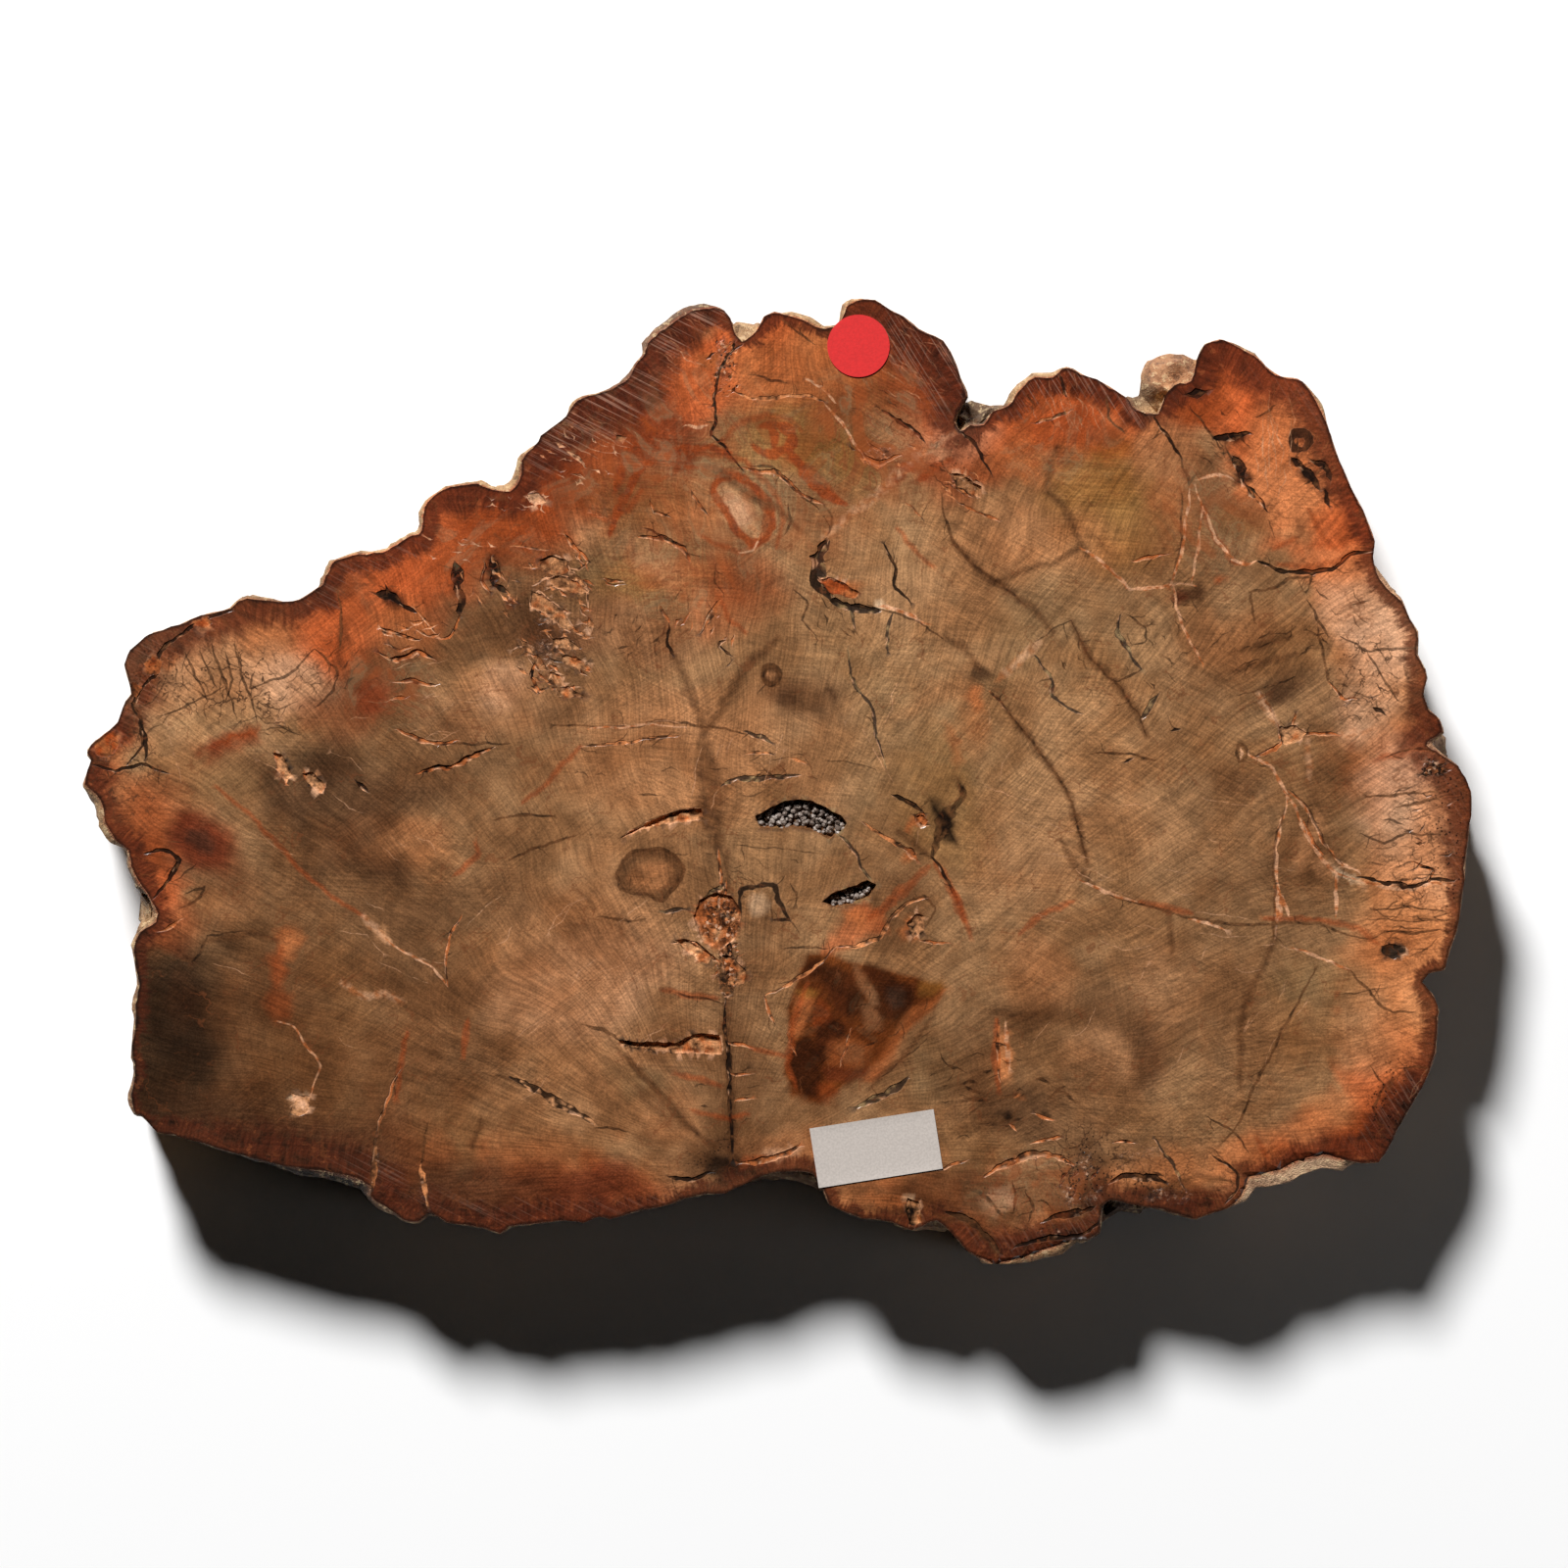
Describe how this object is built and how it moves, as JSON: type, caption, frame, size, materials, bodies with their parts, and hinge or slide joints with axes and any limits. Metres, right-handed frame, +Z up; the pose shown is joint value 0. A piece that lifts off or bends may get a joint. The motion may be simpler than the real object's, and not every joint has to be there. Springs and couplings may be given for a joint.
{
  "type": "petrified wood slice",
  "caption": "Polished cross-section slice of a petrified log with rough bark edge, crystal-lined hollows, a round sticker and a blank label.",
  "frame": {"origin": "middle of the sawn underside's bounding box, on the surface it rests on", "axes": "+X along the longest way across the slice, +Y towards the edge with the red dot, +Z up out of the polished face"},
  "size_m": [0.2214, 0.154, 0.0222],
  "materials": {
    "petrified_wood": "polished face, rough bark wall, sawn underside",
    "quartz": "natural crystal faces",
    "red_paper": "matte printed paper",
    "white_paper": "matte paper"
  },
  "bodies": {
    "root": {"petrified_wood_slab": "petrified_wood", "quartz_crust_large": "quartz", "quartz_crust_small": "quartz", "red_dot_sticker": "red_paper", "blank_paper_label": "white_paper"}
  },
  "joints": []
}
